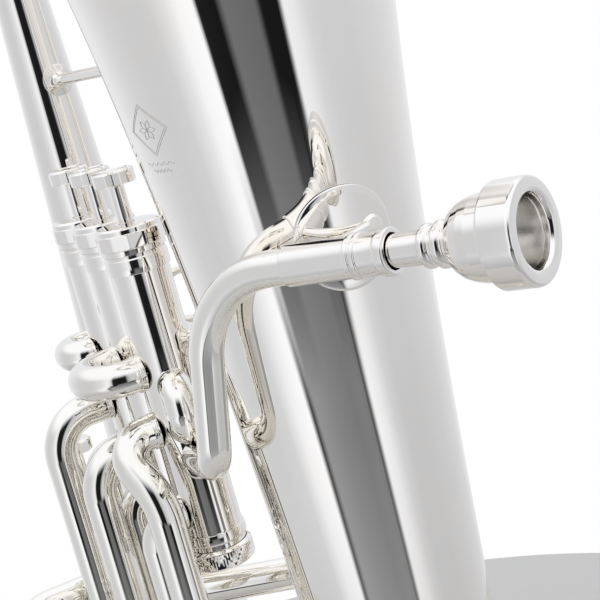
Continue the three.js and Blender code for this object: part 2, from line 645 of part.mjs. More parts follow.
// The water key turns on a saddle on the main tuning slide's bow and covers its drain.
const KEY_PIVOT = 12; // along the slide's width, from its middle
const tuningDirection = at(SMALL_BRANCH_AXIS, 0).sub(at(TUNING_LEG_AXIS, 0)).normalize();
const tuningOut = v3(tuningDirection.y, -tuningDirection.x, 0);
const tuningMiddle = at(TUNING_LEG_AXIS, 0).add(at(SMALL_BRANCH_AXIS, 0)).multiplyScalar(0.5);
const tuningHalf = at(TUNING_LEG_AXIS, 0).distanceTo(at(SMALL_BRANCH_AXIS, 0)) / 2;
const keyZ = TUNING_SLEEVE_LOW - GAP - 5 - tuningHalf;
const keyLift = TUNING_R + 5.4;
const keySpot = (along, out, up = 0) =>
  tuningMiddle.clone().addScaledVector(tuningDirection, along).addScaledVector(tuningOut,
    out).setZ(keyZ + up);

function waterKey() {
  const pad = rod(keySpot(0, TUNING_R + 0.2), keySpot(0, keyLift + 1), 4.4, 12);
  const arm = rod(keySpot(-2, keyLift), keySpot(34, keyLift), 1.5, 8);
  const touch = rod(keySpot(34, keyLift - 0.9), keySpot(34, keyLift + 0.9), 6, 14);
  return join(pad, arm, touch);
}

function waterKeySaddle() {
  const block = (outLow, outHigh, upLow, upHigh) =>
    new THREE.BoxGeometry(5, outHigh - outLow, upHigh - upLow)
      .rotateZ(Math.atan2(tuningDirection.y, tuningDirection.x))
      .translate(...keySpot(KEY_PIVOT, (outLow + outHigh) / 2, (upLow + upHigh) / 2).toArray());
  const foot = TUNING_R + 0.2;
  return join(block(foot, foot + 1.6, -3.8, 3.8), block(foot, keyLift + 2, 2.1, 3.8),
    block(foot, keyLift + 2, -3.8, -2.1));
}
piece("water_key", waterKey());
piece("water_key_saddle", waterKeySaddle());

export default instrument;
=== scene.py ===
# A silver-plated euphonium: smooth silver tubes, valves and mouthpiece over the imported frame.
# Lengths below are in millimetres until a mesh is made, and the frame is in metres.
import math

import bpy
import numpy as np
from mathutils import Matrix, Vector

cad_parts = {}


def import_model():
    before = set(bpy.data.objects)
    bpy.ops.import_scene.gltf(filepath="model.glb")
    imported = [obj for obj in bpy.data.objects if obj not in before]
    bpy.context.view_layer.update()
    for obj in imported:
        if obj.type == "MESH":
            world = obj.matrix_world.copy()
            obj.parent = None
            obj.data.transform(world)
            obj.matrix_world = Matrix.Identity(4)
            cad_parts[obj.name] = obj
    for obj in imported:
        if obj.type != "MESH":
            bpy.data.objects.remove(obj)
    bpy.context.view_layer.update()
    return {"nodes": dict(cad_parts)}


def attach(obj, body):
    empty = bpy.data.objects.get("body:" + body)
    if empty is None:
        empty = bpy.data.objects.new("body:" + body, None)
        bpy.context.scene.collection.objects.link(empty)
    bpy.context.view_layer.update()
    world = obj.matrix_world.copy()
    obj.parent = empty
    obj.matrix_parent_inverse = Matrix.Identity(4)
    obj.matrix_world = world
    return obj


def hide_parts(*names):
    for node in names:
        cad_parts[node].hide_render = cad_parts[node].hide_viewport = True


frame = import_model()

# ---------------------------------------------------------------- driving dimensions
HEIGHT = 670
GAP = 0.3
WALL = 0.8
TUBE_WALL = 0.7
BELL = (-98, -19)
BRANCH = (98, 19)
BELL_RIM_R = 152.5
BELL_FLARE = 96.6
BELL_POWER = 0.7
RIM_BEAD_R = 2.2
BOW_R = math.hypot(*BRANCH)
BOW_TOP = 134.8
BRANCH_R_LOW = 26
BRANCH_R_HIGH = 12.2
TOP_BOW_Z = 520
SMALL = (48, -41)
SMALL_R = 11.2
TUNING = (3, -49.6)
TUNING_R = 8.8
TUNING_SLEEVE_LOW = 78
TUNING_SLEEVE_LENGTH = 66
VALVES = [(-43, 38.5, 365), (-6, 38.5, 365), (31, 38.5, 365), (80, 65, 222)]
CASING_LENGTH = 160
CASING_R = 13.6
CASING_BORE_R = 12.3
CAP_R = 15.8
CAP_HEIGHT = 13
PISTON_TOP = 10
STROKE = 17
STEM_R = 3.5
BUTTON_R = 9.8
BUTTON_HEIGHT = 7.5
PIPE_R = 7.3
PIPE_Z = 345.5
PIPE_OFFSET = 66.3
PLAYER = Vector((-0.855, -0.518, 0.0155)).normalized()
SLEEVE_R = 8.2
SLIDE_R = 6.8
BOW_TUBE_R = 7.8


# ---------------------------------------------------------------- mesh helpers
def at(xy, z):
    return Vector((xy[0], xy[1], z))


def route(corners, radii, arc_step=5):
    """Stations of (point, tangent, distance) through the corners, rounded with the radii."""
    corners = [Vector(c) for c in corners]
    stations = []

    def add(point, tangent):
        distance = stations[-1][2] + (point - stations[-1][0]).length if stations else 0
        if not stations or distance - stations[-1][2] > 1e-3:
            stations.append((point, tangent, distance))

    add(corners[0], (corners[1] - corners[0]).normalized())
    for i in range(1, len(corners) - 1):
        into = (corners[i] - corners[i - 1]).normalized()
        out = (corners[i + 1] - corners[i]).normalized()
        angle = into.angle(out)
        radius = radii[i - 1]
        start = corners[i] - into * radius * math.tan(angle / 2)
        normal = (out - into * out.dot(into)).normalized()
        steps = max(2, math.ceil(math.degrees(angle) / arc_step))
        for k in range(steps + 1):
            a = angle * k / steps
            point = start + into * radius * math.sin(a) + normal * radius * (1 - math.cos(a))
            add(point, into * math.cos(a) + normal * math.sin(a))
    add(corners[-1], (corners[-1] - corners[-2]).normalized())
    return stations


def with_stops(stations, distances):
    """The stations with more of them put in at the given distances."""
    out = list(stations)
    for d in distances:
        i = next((k for k, s in enumerate(out) if s[2] > d + 1e-3), 0)
        if i < 1 or abs(out[i - 1][2] - d) < 1e-2:
            continue
        a, b = out[i - 1], out[i]
        t = (d - a[2]) / (b[2] - a[2])
        out.insert(i, (a[0].lerp(b[0], t), a[1].lerp(b[1], t).normalized(), d))
    return out


def value_at(keys, share):
    xs, ys = zip(*keys)
    return float(np.interp(share, xs, ys))


def skin(rings, looped):
    """Vertices and faces of a closed surface through equal rings of points."""
    n = len(rings[0])
    verts = [p for ring in rings for p in ring]
    faces = []
    spans = len(rings) if looped else len(rings) - 1
    for i in range(spans):
        a, b = i * n, ((i + 1) % len(rings)) * n
        faces += [(a + k, a + (k + 1) % n, b + (k + 1) % n, b + k) for k in range(n)]
    if not looped:
        faces += [tuple(range(n))[::-1], tuple(range((len(rings) - 1) * n, len(rings) * n))]
    return verts, faces


def pipe(stations, radius, wall=TUBE_WALL, sides=40):
    """A pipe along a route. radius is a number or (share, radius) pairs. Its ends are slightly rounded."""
    keys = [(0, radius), (1, radius)] if isinstance(radius, (int, float)) else radius
    length = stations[-1][2]
    ends = [0.25, length - 0.25]
    stations = with_stops(stations, [s * length for s, _ in keys] + ends)
    side = None
    frames = []
    for i, (point, tangent, distance) in enumerate(stations):
        if side is None:
            seed = Vector((0, 0, 1)) if abs(tangent.z) < 0.9 else Vector((1, 0, 0))
            side = seed.cross(tangent).normalized()
        else:
            side = stations[i - 1][1].rotation_difference(tangent) @ side
            side = (side - tangent * side.dot(tangent)).normalized()
        frames.append((point, side.copy(), tangent.cross(side), value_at(keys, distance / length)))

    def ring(frame_, radius_):
        point, s, u, _ = frame_
        angles = [2 * math.pi * k / sides for k in range(sides)]
        return [point + s * radius_ * math.cos(a) + u * radius_ * math.sin(a) for a in angles]

    last = len(frames) - 1
    outer = [ring(f, f[3] - (0.2 if i in (0, last) else 0)) for i, f in enumerate(frames)]
    inner = [ring(f, f[3] - wall) for f in frames]
    return skin(outer + inner[::-1], True)


def lathe(profile, segments=64, origin=(0, 0, 0), axis=(0, 0, 1)):
    """A profile of (radius, height) turned about an axis. It closes on itself unless it ends on the axis."""
    turn = Vector((0, 0, 1)).rotation_difference(Vector(axis))
    origin = Vector(origin)
    verts, faces, loops = [], [], []
    for r, z in profile:
        if r < 1e-6:
            loops.append([len(verts)] * segments)
            verts.append(origin + turn @ Vector((0, 0, z)))
            continue
        loops.append(list(range(len(verts), len(verts) + segments)))
        for k in range(segments):
            a = 2 * math.pi * k / segments
            verts.append(origin + turn @ Vector((r * math.cos(a), r * math.sin(a), z)))
    closed = profile[0][0] > 1e-6
    for i in range(len(loops) if closed else len(loops) - 1):
        a, b = loops[i], loops[(i + 1) % len(loops)]
        for k in range(segments):
            face = [a[k], a[(k + 1) % segments], b[(k + 1) % segments], b[k]]
            face = list(dict.fromkeys(face))
            if len(face) > 2:
                faces.append(tuple(face))
    return verts, faces


def rounded(profile, radius=0.35, steps=3):
    """The profile with its corners rounded."""
    closed = profile[0][0] > 1e-6
    points = [Vector(p) for p in profile]
    out = []
    for i, p in enumerate(points):
        if not closed and i in (0, len(points) - 1):
            out.append(tuple(p))
            continue
        before, after = points[i - 1], points[(i + 1) % len(points)]
        r = min(radius, (before - p).length * 0.45, (after - p).length * 0.45)
        a, b = p + (before - p).normalized() * r, p + (after - p).normalized() * r
        for k in range(steps + 1):
            t = k / steps
            out.append(tuple(a * (1 - t) ** 2 + p * 2 * t * (1 - t) + b * t * t))
    return out


def collar(point, direction, inner, outer, length):
    """A soldered ring round a tube, with a rounded bead at each end."""
    bead = (outer - inner) * 0.35
    return lathe(rounded([
        (inner, 0), (outer, 0), (outer, 1.6), (outer - bead, 2.2), (outer - bead, length - 2.2),
        (outer, length - 1.6), (outer, length), (inner, length),
    ], 0.5), 48, point, direction)


def merged(*parts):
    verts, faces = [], []
    for v, f in parts:
        faces += [tuple(i + len(verts) for i in face) for face in f]
        verts += list(v)
    return verts, faces


def piece(name, geometry, nodes, body, material, sharp=32):
    """A Blender object in the row frame that stands for some CAD nodes and rides on a body."""
    verts, faces = geometry
    mesh = bpy.data.meshes.new(name)
    mesh.from_pydata([tuple(Vector(v) * 0.001) for v in verts], [], faces)
    mesh.validate()
    obj = bpy.data.objects.new(name, mesh)
    bpy.context.collection.objects.link(obj)
    bpy.context.view_layer.objects.active = obj
    obj.select_set(True)
    bpy.ops.object.mode_set(mode="EDIT")
    bpy.ops.mesh.select_all(action="SELECT")
    bpy.ops.mesh.normals_make_consistent(inside=False)
    bpy.ops.object.mode_set(mode="OBJECT")
    obj.select_set(False)
    mesh.shade_smooth()
    mesh.set_sharp_from_angle(angle=math.radians(sharp))
    mesh.materials.append(material)
    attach(obj, body)
    if nodes:
        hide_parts(*nodes)
    return obj


# ---------------------------------------------------------------- materials
def metal(name, colour, tarnish, roughness, bump=0.02, grain=900, rough_spread=0.03, stretch=(1, 1, 1)):
    """Plated or drawn metal. Its colour drifts towards tarnish in soft patches, with fine polishing marks."""
    material = bpy.data.materials.new(name)
    material.use_nodes = True
    tree = material.node_tree
    tree.nodes.clear()
    new, link = tree.nodes.new, tree.links.new
    out, shader = new("ShaderNodeOutputMaterial"), new("ShaderNodeBsdfPrincipled")
    where, mapping = new("ShaderNodeTexCoord"), new("ShaderNodeMapping")
    link(where.outputs["Object"], mapping.inputs["Vector"])
    mapping.inputs["Scale"].default_value = stretch
    patches, marks = new("ShaderNodeTexNoise"), new("ShaderNodeTexNoise")
    patches.inputs["Scale"].default_value = 14
    patches.inputs["Detail"].default_value = 3
    marks.inputs["Scale"].default_value = grain
    marks.inputs["Detail"].default_value = 4
    link(where.outputs["Object"], patches.inputs["Vector"])
    link(mapping.outputs["Vector"], marks.inputs["Vector"])
    tint = new("ShaderNodeValToRGB")
    tint.color_ramp.elements[0].position = 0.42
    tint.color_ramp.elements[0].color = (*colour, 1)
    tint.color_ramp.elements[1].position = 0.75
    tint.color_ramp.elements[1].color = (*tarnish, 1)
    link(patches.outputs["Fac"], tint.inputs["Fac"])
    link(tint.outputs["Color"], shader.inputs["Base Color"])
    rough = new("ShaderNodeMapRange")
    rough.inputs["From Min"].default_value = 0.3
    rough.inputs["From Max"].default_value = 0.75
    rough.inputs["To Min"].default_value = roughness
    rough.inputs["To Max"].default_value = roughness + rough_spread
    link(marks.outputs["Fac"], rough.inputs["Value"])
    link(rough.outputs["Result"], shader.inputs["Roughness"])
    relief = new("ShaderNodeBump")
    relief.inputs["Strength"].default_value = bump
    relief.inputs["Distance"].default_value = 0.0002
    link(marks.outputs["Fac"], relief.inputs["Height"])
    link(relief.outputs["Normal"], shader.inputs["Normal"])
    shader.inputs["Metallic"].default_value = 1
    link(shader.outputs["BSDF"], out.inputs["Surface"])
    return material


SILVER = metal("silver_plate", (0.985, 0.955, 0.906), (0.968, 0.93, 0.872), 0.012, 0.002, 420, 0.02)
SATIN = metal("satin_silver", (0.9, 0.885, 0.85), (0.82, 0.805, 0.77), 0.2, 0.008, 600, 0.04)
TUBE = metal("drawn_silver", (0.98, 0.957, 0.90), (0.955, 0.925, 0.86), 0.02, 0.006, 500, 0.025)
NICKEL = metal("nickel_alloy", (0.78, 0.76, 0.72), (0.66, 0.64, 0.6), 0.22, 0.1, 1500, 0.12)
WIRE = metal("spring_wire", (0.6, 0.61, 0.63), (0.45, 0.45, 0.46), 0.3, 0.1, 1500, 0.1)


# ---------------------------------------------------------------- bell, bows and branches
def bell_radius(z):
    return BELL_RIM_R * (BELL_FLARE / (HEIGHT - z + BELL_FLARE)) ** BELL_POWER


def bell():
    low, high = BOW_TOP + GAP, 664.0
    heights = [low + (high - low) * math.sin(math.pi / 2 * k / 60) for k in range(61)]
    outside = [(bell_radius(z), z) for z in heights]
    inside = [(bell_radius(z) - WALL, z) for z in heights][::-1]
    bead = HEIGHT - RIM_BEAD_R
    roll = []
    for k in range(15):
        a = math.radians(-110 + 270 * k / 14)
        roll.append((BELL_RIM_R - 1.8 + RIM_BEAD_R * math.cos(a), bead + RIM_BEAD_R * math.sin(a)))
    return lathe(outside + roll + [(BELL_RIM_R - 5.6, HEIGHT - 2.6)] + inside, 160, at(BELL, 0))


def bow_stations(steps):
    along = at(BRANCH, 0).normalized()
    down = Vector((0, 0, -1))
    out = []
    for k in range(steps + 1):
        a = math.pi * k / steps
        point = Vector((0, 0, BOW_TOP)) - along * BOW_R * math.cos(a) + down * BOW_R * math.sin(a)
        out.append((point, along * math.sin(a) + down * math.cos(a), BOW_R * a))
    return out


def bow_guard():
    stations = bow_stations(72)
    length = stations[-1][2]
    rings = []
    for point, tangent, distance in stations[12:-11]:
        base = bell_radius(BOW_TOP) + (BRANCH_R_LOW - bell_radius(BOW_TOP)) * distance / length
        outward = (point - Vector((0, 0, BOW_TOP))).normalized()
        across = tangent.cross(outward)
        angles = [0.62 * (k / 9 - 1) for k in range(19)]
        spot = lambda r, a: point + outward * r * math.cos(a) + across * r * math.sin(a)
        outer = [spot(base + GAP + 1.3 - 0.6 * abs(a / 0.62) ** 12, a) for a in angles]
        rings.append(outer + [spot(base + GAP, a) for a in angles[::-1]])
    return skin(rings, False)


piece("bell_shell", bell(), ["bell"], "instrument", SILVER)
bow_keys = [(0, bell_radius(BOW_TOP)), (1, BRANCH_R_LOW)]
piece("bottom_bow_tube", merged(
    pipe(bow_stations(72), bow_keys, WALL, 96),
    collar(at(BELL, BOW_TOP - 1), (0, 0, 1), bell_radius(BOW_TOP), bell_radius(BOW_TOP) + 1.5, 16),
    collar(at(BRANCH, BOW_TOP - 1), (0, 0, 1), BRANCH_R_LOW, BRANCH_R_LOW + 1.4, 14),
), ["bottom_bow"], "instrument", SILVER)
piece("bow_guard_plate", bow_guard(), ["bow_guard"], "instrument", SILVER)

branch_top = (at(BRANCH, BOW_TOP + GAP), at(BRANCH, TOP_BOW_Z - GAP))
piece("large_branch_tube", merged(
    pipe(route(branch_top, []), [(0, BRANCH_R_LOW), (1, BRANCH_R_HIGH)], WALL, 72),
    collar(at(BRANCH, TOP_BOW_Z - 14), (0, 0, 1), BRANCH_R_HIGH, BRANCH_R_HIGH + 1.5, 16),
), ["large_branch"], "instrument", SILVER)

top_r = math.hypot(BRANCH[0] - SMALL[0], BRANCH[1] - SMALL[1]) / 2
top_corners = [at(BRANCH, TOP_BOW_Z), at(BRANCH, TOP_BOW_Z + top_r), at(SMALL, TOP_BOW_Z + top_r),
    at(SMALL, TOP_BOW_Z)]
piece("top_bow_tube", pipe(route(top_corners, [top_r - 0.01] * 2, 4), [(0, BRANCH_R_HIGH), (1, SMALL_R)],
    WALL, 56),
      ["top_bow"], "instrument", SILVER)
small_length = TOP_BOW_Z - GAP - TUNING_SLEEVE_LOW
piece("small_branch_tube", merged(
    pipe(route([at(SMALL, TOP_BOW_Z - GAP), at(SMALL, TUNING_SLEEVE_LOW)], []),
         [(0, SMALL_R), (1 - TUNING_SLEEVE_LENGTH / small_length, TUNING_R + 0.3), (1, TUNING_R)],
         TUBE_WALL, 48),
    collar(at(SMALL, TOP_BOW_Z - 14), (0, 0, 1), SMALL_R - 0.1, SMALL_R + 1.4, 16),
    collar(at(SMALL, TUNING_SLEEVE_LOW), (0, 0, 1), TUNING_R, TUNING_R + 1.3, 9),
), ["small_branch"], "instrument", TUBE)


# ---------------------------------------------------------------- valves
def flatted(verts, faces, centre, apothem, count, start, low, high):
    """Planes flats on the band of a turned part. start is the heading of one corner, in degrees."""
    out = []
    for v in verts:
        v = Vector(v)
        flat = Vector((v.x - centre[0], v.y - centre[1], 0))
        if low <= v.z <= high and flat.length > apothem - 0.3:
            a = (math.degrees(math.atan2(flat.y, flat.x)) - start) % (360 / count) - 180 / count
            reach = min(apothem / math.cos(math.radians(a)), flat.length)
            v -= flat.normalized() * (flat.length - reach)
        out.append(v)
    return out, faces


def knurled(verts, faces, centre, radius, low, high, depth=0.28, period=2):
    """Presses vertical grooves into the band of a turned part."""
    out = []
    for v in verts:
        v = Vector(v)
        flat = Vector((v.x - centre[0], v.y - centre[1], 0))
        if low <= v.z <= high and flat.length > radius - 0.5:
            k = round(math.atan2(flat.y, flat.x) / (2 * math.pi) * 144)
            if k % period:
                v -= flat.normalized() * depth
        out.append(v)
    return out, faces


def valve(index, x, y, top):
    n = index + 1
    low, high = top - CAP_HEIGHT + 9 - CASING_LENGTH, top - 2.4
    centre = (x, y, 0)
    casing = [(CASING_R, low), (CASING_R, high), (CASING_BORE_R, high), (CASING_BORE_R, low)]
    step = [(CASING_R - 0.2, top - 22), (CASING_R + 1.0, top - 22), (CASING_R + 1.0, top - 15.4),
            (CASING_R + 0.5, top - 14.6), (CASING_R + 0.5, top - 13.4), (CASING_R - 0.2, top - 13.4)]
    foot = [(CASING_R - 0.2, low + 9.4), (CASING_R + 0.6, low + 9.4), (CASING_R + 1.0, low + 10.4),
            (CASING_R + 1.0, low + 15), (CASING_R - 0.2, low + 15)]
    piece(f"casing_{n}", merged(lathe(casing, 72, centre), lathe(rounded(step), 72, centre),
        lathe(rounded(foot), 72, centre)),
          [f"valve_casing_{n}"], "instrument", SILVER)

    inside = CASING_R + GAP
    hole = STEM_R + 0.4
    cap = lathe(rounded([
        (inside, top - CAP_HEIGHT), (CAP_R - 0.9, top - CAP_HEIGHT), (CAP_R - 0.9, top - 10.4),
        (CAP_R, top - 10.0),
        (CAP_R, top - 3.8), (CAP_R - 0.8, top - 3.4), (CAP_R - 0.8, top - 1.3), (CAP_R - 2.0, top - 0.4),
        (hole + 3, top), (hole, top), (hole, top - 2), (inside, top - 2),
    ], 0.3), 144, centre)
    piece(f"top_cap_{n}_turned", flatted(*cap, (x, y), CAP_R - 0.5, 12, 37.7, top - 10.2, top - 3.6),
          [f"top_cap_{n}"], "instrument", SILVER, sharp=12)

    floor = low - 1.6
    bottom = lathe(rounded([
        (0, floor - 2.6), (4, floor - 2.6), (5.5, floor - 1.4), (CAP_R - 2, floor - 1.4),
        (CAP_R, floor + 0.2),
        (CAP_R, floor + 7.4), (inside, floor + 9), (inside, low - GAP), (0, low - GAP),
    ], 0.4), 144, centre)
    piece(f"bottom_cap_{n}_turned", knurled(*bottom, (x, y), CAP_R, floor + 0.4, floor + 7.3),
          [f"bottom_cap_{n}"], "instrument", SILVER)

    stem_foot, shoulder = top - PISTON_TOP + GAP, top + STROKE
    rim = shoulder + BUTTON_HEIGHT
    button = lathe(rounded([
        (0, stem_foot), (STEM_R, stem_foot), (STEM_R, shoulder - 0.3), (STEM_R + 1.3, shoulder + 0.1),
        (STEM_R + 1.3, shoulder + 0.6),
        (BUTTON_R - 0.6, shoulder + 0.6), (BUTTON_R, shoulder + 1.1), (BUTTON_R, rim - 1.3),
        (BUTTON_R - 0.8, rim - 0.5), (BUTTON_R - 2.4, rim), (BUTTON_R - 3.4, rim - 0.6), (0, rim - 1.0),
    ], 0.3, 4), 144, centre)
    piece(f"button_{n}", flatted(*button, (x, y), BUTTON_R * math.cos(math.pi / 18), 18, 18.7, shoulder + 1,
        rim - 1.1),
          [f"finger_button_{n}"], f"valve_{n}", SILVER, sharp=9)


for index, spec in enumerate(VALVES):
    valve(index, *spec)


# ---------------------------------------------------------------- valve tubing
def valve_at(n, z):
    return Vector((VALVES[n - 1][0], VALVES[n - 1][1], z))


def trimmed(stations, start=None, end=None, short=0.0):
    """The route without the ends that lie inside the casings of the valves it joins.

    A tube that comes in on a slant is cut short by a little more, to stay out of the bore.
    """
    length = stations[-1][2]
    reach = CASING_R + GAP - 1.0
    low = reach if start else 0
    high = length - (reach + short if end else 0)
    stops = with_stops(stations, [low, high])
    kept = [s for s in stops if low - 1e-3 <= s[2] <= high + 1e-3]
    return [(p, t, d - kept[0][2]) for p, t, d in kept]


def port_ring(n, z, toward, radius):
    """The saddle ring where a tube is soldered to a casing."""
    centre = valve_at(n, z)
    direction = Vector(toward) - centre
    direction.z = 0
    direction.normalize()
    return collar(centre + direction * (CASING_R - 0.6), direction, radius - 0.3, radius + 0.4, 3)


def valve_tube(name, node, corners, radii, radius, start, end=None, extras=(), material=TUBE, short=0.0):
    stations = trimmed(route(corners, radii), start, end, short)
    rings = [port_ring(start, corners[0][2], corners[1], radius)] if start else []
    if end:
        rings.append(port_ring(end, corners[-1][2], corners[-2], radius))
    piece(name, merged(pipe(stations, radius, TUBE_WALL, 40), *rings, *extras), [node], "instrument",
        material)


V1, V2, V3 = VALVES[0][0], VALVES[1][0], VALVES[2][0]
VY = VALVES[0][1]
TIGHT = 13
valve_tube("crook_1_2", "valve_1_2_crook",
    [valve_at(1, 297), (V1, 72.3, 297), (V2, 72.3, 297), valve_at(2, 297)],
           [18.49, 18.49], SLEEVE_R, 1, 2)
loop = [(V3 - 1, 52.2, 298), (V3 - 1, 61, 298), (V3 + 21, 61, 298), (V3 + 21, 38.5, 298),
    (V3 + 13, 38.5, 298)]
loop_stations = route(loop, [8.6, 10.9, 7.9])
piece("compensating_tube_3", pipe(loop_stations, SLEEVE_R - 0.4, TUBE_WALL, 40), ["compensating_bow_3"],
    "instrument", TUBE)
stub_out = Vector((math.cos(math.radians(165)), math.sin(math.radians(165)), 0)) * 26
valve_tube("compensating_tube_1", "compensating_bow_1",
           [valve_at(1, 290), valve_at(1, 290) + stub_out, valve_at(1, 270) + stub_out, valve_at(1, 270)],
           [9.99, 9.99], PIPE_R, 1, 1)
valve_tube("knuckle", "knuckle_2_3", [valve_at(2, 320), valve_at(3, 320)], [], SLEEVE_R, 2, 3)
valve_tube("link_3_4", "valve_3_4_link", [valve_at(3, 225), (67, VY, 225), (67, VY, 190), valve_at(4, 190)],
           [TIGHT, TIGHT], BOW_TUBE_R, 3, 4)
valve_tube("crossover", "crossover_tube", [valve_at(4, 150), at(TUNING, 150), at(TUNING, TUNING_SLEEVE_LOW)],
           [20], TUNING_R, 4, None, [collar(at(TUNING, TUNING_SLEEVE_LOW), (0, 0, 1), TUNING_R,
           TUNING_R + 1.3, 9)])

# Valve, foot of its sleeves, how far the slide reaches in, and each leg: place, port height, way out, bend.
SLIDES = [
    (1, 140, 46, [((-60, 64), 269, (-40, 73, 269), 12), ((-43, 66.2), 228, None, 13)]),
    (2, 170, 36, [((-10, 78.5), 256, None, 18), ((-3, 63.1), 230, None, 10)]),
    (3, 118, 46, [((33, 82.2), 271, None, 20), ((36, 65.4), 245, None, 13)]),
    (4, 66, 46, [((80, 118), 165, None, 16), ((80, 90.5), 137, None, 12)]),
]


def slide_bow(a, b, low, leg_r, bow_r, insert, straight=9.0):
    """A slide's two legs and the bow that joins them, and the bow's two end rings."""
    half = (a - b).length / 2
    bottom = low - straight - half
    corners = [at(a, low + insert), at(a, bottom), at(b, bottom), at(b, low + insert)]
    stations = route(corners, [half - 0.01] * 2)
    length = stations[-1][2]
    keys = [(0, leg_r), ((insert - 0.4) / length, leg_r), ((insert + 0.3) / length, bow_r),
            (1 - (insert + 0.3) / length, bow_r), (1 - (insert - 0.4) / length, leg_r), (1, leg_r)]
    rings = [collar(at(p, low - 7.4), (0, 0, 1), bow_r - 0.2, bow_r + 1.0, 7) for p in (a, b)]
    return merged(pipe(stations, keys, TUBE_WALL, 40), *rings)


for n, low, insert, legs in SLIDES:
    for which, (xy, z, via, bend) in zip(("outer", "inner"), legs):
        way = [via, (*xy, z - 26)] if via else [(*xy, z)]
        corners, radii = [valve_at(n, z), *way, (*xy, low)], [bend, 30] if via else [bend]
        ferrule = collar(at(xy, low), (0, 0, 1), SLEEVE_R - 0.2, SLEEVE_R + 1.0, 7)
        valve_tube(f"sleeve_{n}_{which}", f"slide_sleeve_{n}_{which}", corners, radii, SLEEVE_R, n, None,
            [ferrule])
    a, b = (Vector((*leg[0], 0)) for leg in legs)
    piece(f"slide_{n}_bow", slide_bow(a, b, low - GAP, SLIDE_R, BOW_TUBE_R, insert), [f"valve_slide_{n}"],
        f"slide_{n}", TUBE)

piece("main_slide_bow", slide_bow(Vector((*TUNING, 0)), Vector((*SMALL, 0)), TUNING_SLEEVE_LOW - GAP,
      TUNING_R - TUBE_WALL - 0.7, TUNING_R - 0.2, 50, 5), ["main_tuning_slide"], "main_slide", TUBE)

# ---------------------------------------------------------------- leadpipe, receiver and mouthpiece
pipe_base = at(BELL, PIPE_Z) + Vector((PLAYER.y, -PLAYER.x, 0)) * PIPE_OFFSET


def on_pipe(distance, drop=0):
    return pipe_base + PLAYER * distance - Vector((0, 0, drop))


RECEIVER = 40
valve_tube("leadpipe_tube", "leadpipe",
    [on_pipe(RECEIVER + 12), on_pipe(-5), on_pipe(-24.5, 80), valve_at(1, 252)],
           [46, 15], PIPE_R, None, 1, short=1.4)

receiver = rounded([
    (PIPE_R, -0.5), (PIPE_R + 0.9, 0), (PIPE_R + 0.9, 30), (PIPE_R + 1.7, 30.4), (PIPE_R + 1.7, 32.2),
    (PIPE_R + 1.1, 32.6),
    (PIPE_R + 1.1, 33.2), (PIPE_R + 1.7, 33.6), (PIPE_R + 1.7, 35), (PIPE_R + 1.0, 35.4), (PIPE_R + 1.0, 43),
    (PIPE_R + 1.5, 43.4), (PIPE_R + 1.9, 44.4), (PIPE_R + 1.9, 47.4), (PIPE_R + 1.2, 48), (7.0, 48),
    (6.8, 13), (PIPE_R, 12.6),
], 0.4)
piece("receiver_turned", lathe(receiver, 96, on_pipe(RECEIVER), PLAYER), ["mouthpiece_receiver"],
    "instrument", SILVER)

LENGTH = 82
outside = rounded([
    (2.6, 50), (2.6, 0), (5.8, 0), (6.6, 34), (6.7, 37), (7.9, 37.4), (8.4, 38.4), (8.4, 39.6), (7.8, 40.6),
    (7.0, 41.2),
    (7.0, 42.4), (8.2, 43), (9.0, 44.2), (9.0, 45.8), (8.2, 47), (7.4, 47.6), (7.6, 48.6), (9.4, 49.6),
    (12.2, 51.6),
    (14.2, 54.6), (15.4, 58), (16, 61.5), (16.1, 67.0), (16.5, 67.6), (19.2, 68.0), (19.6, 68.8),
    (19.6, 80.2),
    (19.2, 81.4), (18.4, LENGTH), (15.2, LENGTH + 0.15), (13.8, LENGTH - 0.5), (13.1, 80), (12.8, 77.6),
], 0.45, 4)
cup = [(12.8, 77.6), (12.5, 73), (12.0, 68.5), (11.0, 64.2), (9.4, 60.2), (7.2, 56.8), (5.0, 54.2),
    (3.4, 52.2), (2.6, 50)]
mouthpiece = piece("mouthpiece_turned", lathe(outside + cup[1:-1], 128, on_pipe(146.5 - LENGTH), PLAYER),
                   ["mouthpiece"], "mouthpiece", SILVER)
mouthpiece.data.materials.append(SATIN)
for face in mouthpiece.data.polygons:  # the cup's wall is satin, the rest mirror bright
    offset = face.center * 1000 - on_pipe(146.5 - LENGTH)
    along = offset.dot(PLAYER)
    if 49.5 < along < 77.5 and (offset - PLAYER * along).length < 12.9 and face.normal.dot(offset -
        PLAYER * along) < 0:
        face.material_index = 1

# ---------------------------------------------------------------- plates and braces
PATCH_ANGLE = math.radians(176)
PATCH_Z = 346.6
patch_out = Vector((math.cos(PATCH_ANGLE), math.sin(PATCH_ANGLE), 0))


